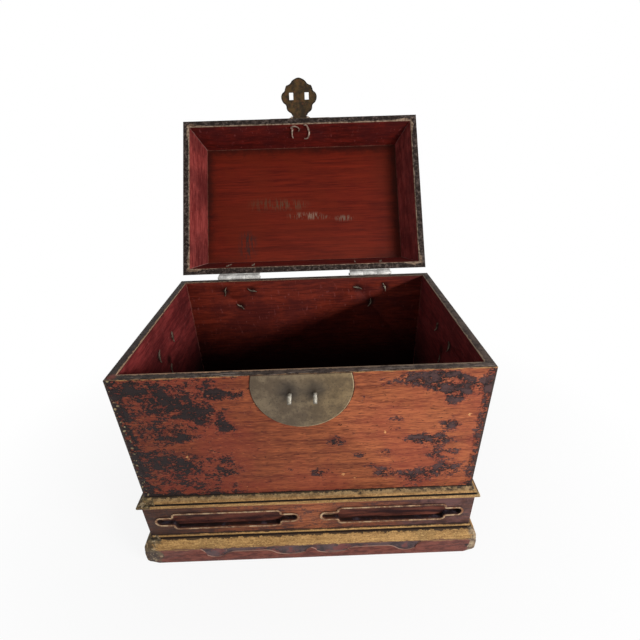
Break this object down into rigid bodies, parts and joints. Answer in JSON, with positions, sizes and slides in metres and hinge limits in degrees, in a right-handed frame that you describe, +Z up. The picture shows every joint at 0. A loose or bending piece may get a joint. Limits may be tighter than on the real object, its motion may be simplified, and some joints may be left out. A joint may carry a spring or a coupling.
{
  "type": "chest",
  "caption": "Lacquered wooden box with a hipped lid on two hinges, a moulded plinth, a slotted hasp over a round lock plate and drop handles.",
  "frame": {"origin": "centre of the flat underside of the case", "axes": "+Z up, +X to the right of someone who faces the front, front faces -Y; lid open at rest"},
  "size_m": [0.43, 0.4706, 0.5764],
  "materials": {
    "lacquered_wood": "worn cinnabar lacquer, crimson inside",
    "moulding_wood": "worn bare wood with lacquer in the hollows",
    "waist_wood": "dark brown lacquer",
    "bare_wood": "dull lacquered board",
    "lock_brass": "dull patina",
    "hasp_bronze": "dark olive patina",
    "hinge_metal": "tarnished pale metal",
    "handle_metal": "dull patina",
    "forged_strip": "worn flat strip"
  },
  "bodies": {
    "case": {"back_board": "lacquered_wood", "back_foot": "moulding_wood", "back_ledge": "moulding_wood", "back_waist": "waist_wood", "case_hinge_cotters": "forged_strip", "floor_board": "bare_wood", "front_board": "lacquered_wood", "front_foot": "moulding_wood", "front_ledge": "moulding_wood", "front_waist": "waist_wood", "handle_plate_cotters": "forged_strip", "handle_posts": "forged_strip", "left_board": "lacquered_wood", "left_foot": "moulding_wood", "left_handle_plate": "handle_metal", "left_hinge_case_leaf": "hinge_metal", "left_hinge_pin": "hinge_metal", "left_ledge": "moulding_wood", "left_waist": "waist_wood", "lock_plate_lower": "lock_brass", "lock_staples": "forged_strip", "right_board": "lacquered_wood", "right_foot": "moulding_wood", "right_handle_plate": "handle_metal", "right_hinge_case_leaf": "hinge_metal", "right_hinge_pin": "hinge_metal", "right_ledge": "moulding_wood", "right_waist": "waist_wood"},
    "lid": {"hasp_cotters": "forged_strip", "hasp_rod": "hasp_bronze", "left_hinge_lid_leaf": "hinge_metal", "lid_back_board": "lacquered_wood", "lid_front_board": "lacquered_wood", "lid_hinge_cotters": "forged_strip", "lid_left_board": "lacquered_wood", "lid_right_board": "lacquered_wood", "lid_top_panel": "lacquered_wood", "lock_plate_upper": "lock_brass", "right_hinge_lid_leaf": "hinge_metal"},
    "hasp": {"hasp": "hasp_bronze"},
    "left_bail": {"left_bail": "handle_metal"},
    "right_bail": {"right_bail": "handle_metal"}
  },
  "joints": [
    {"name": "lid_hinge", "type": "hinge", "parent": "case", "child": "lid", "pos_m": [0, 0.1409, 0.286], "axis": [1, 0, 0], "range_deg": [0, 123.44]},
    {"name": "hasp_hinge", "type": "hinge", "parent": "lid", "child": "hasp", "pos_m": [0, 0.30265, 0.51461], "axis": [1, 0, 0], "range_deg": [0, 71.56]},
    {"name": "left_bail_hinge", "type": "hinge", "parent": "case", "child": "left_bail", "pos_m": [-0.20615, 0, 0.244], "axis": [0, 1, 0], "range_deg": [0, 180]},
    {"name": "right_bail_hinge", "type": "hinge", "parent": "case", "child": "right_bail", "pos_m": [0.20615, 0, 0.244], "axis": [0, -1, 0], "range_deg": [0, 180]}
  ]
}
